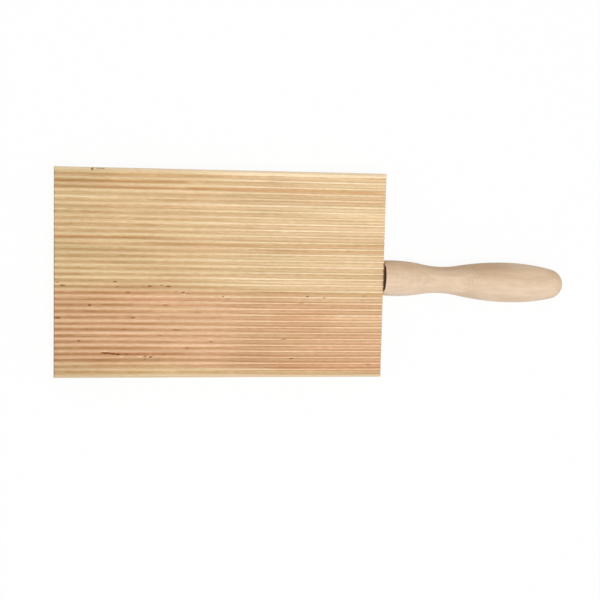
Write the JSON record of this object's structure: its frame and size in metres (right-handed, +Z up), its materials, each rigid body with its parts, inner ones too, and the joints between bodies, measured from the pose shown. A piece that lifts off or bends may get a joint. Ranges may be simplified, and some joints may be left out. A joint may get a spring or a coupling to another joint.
{
  "type": "gnocchi board",
  "caption": "Small rectangular wooden board with fine lengthwise ridges on top and a short turned handle set into one end, for rolling ridged pasta.",
  "frame": {"origin": "centre of the board's flat underside", "axes": "+X along the ridges, towards the handle; +Y across the ridges; +Z up, out of the ridged face"},
  "size_m": [0.215, 0.085, 0.017],
  "materials": {
    "board_wood": "matte bare wood",
    "handle_wood": "smooth matte bare wood",
    "glue": "hardened wood glue"
  },
  "bodies": {
    "root": {"board": "board_wood", "handle": "handle_wood", "glue_film": "glue"}
  },
  "joints": []
}
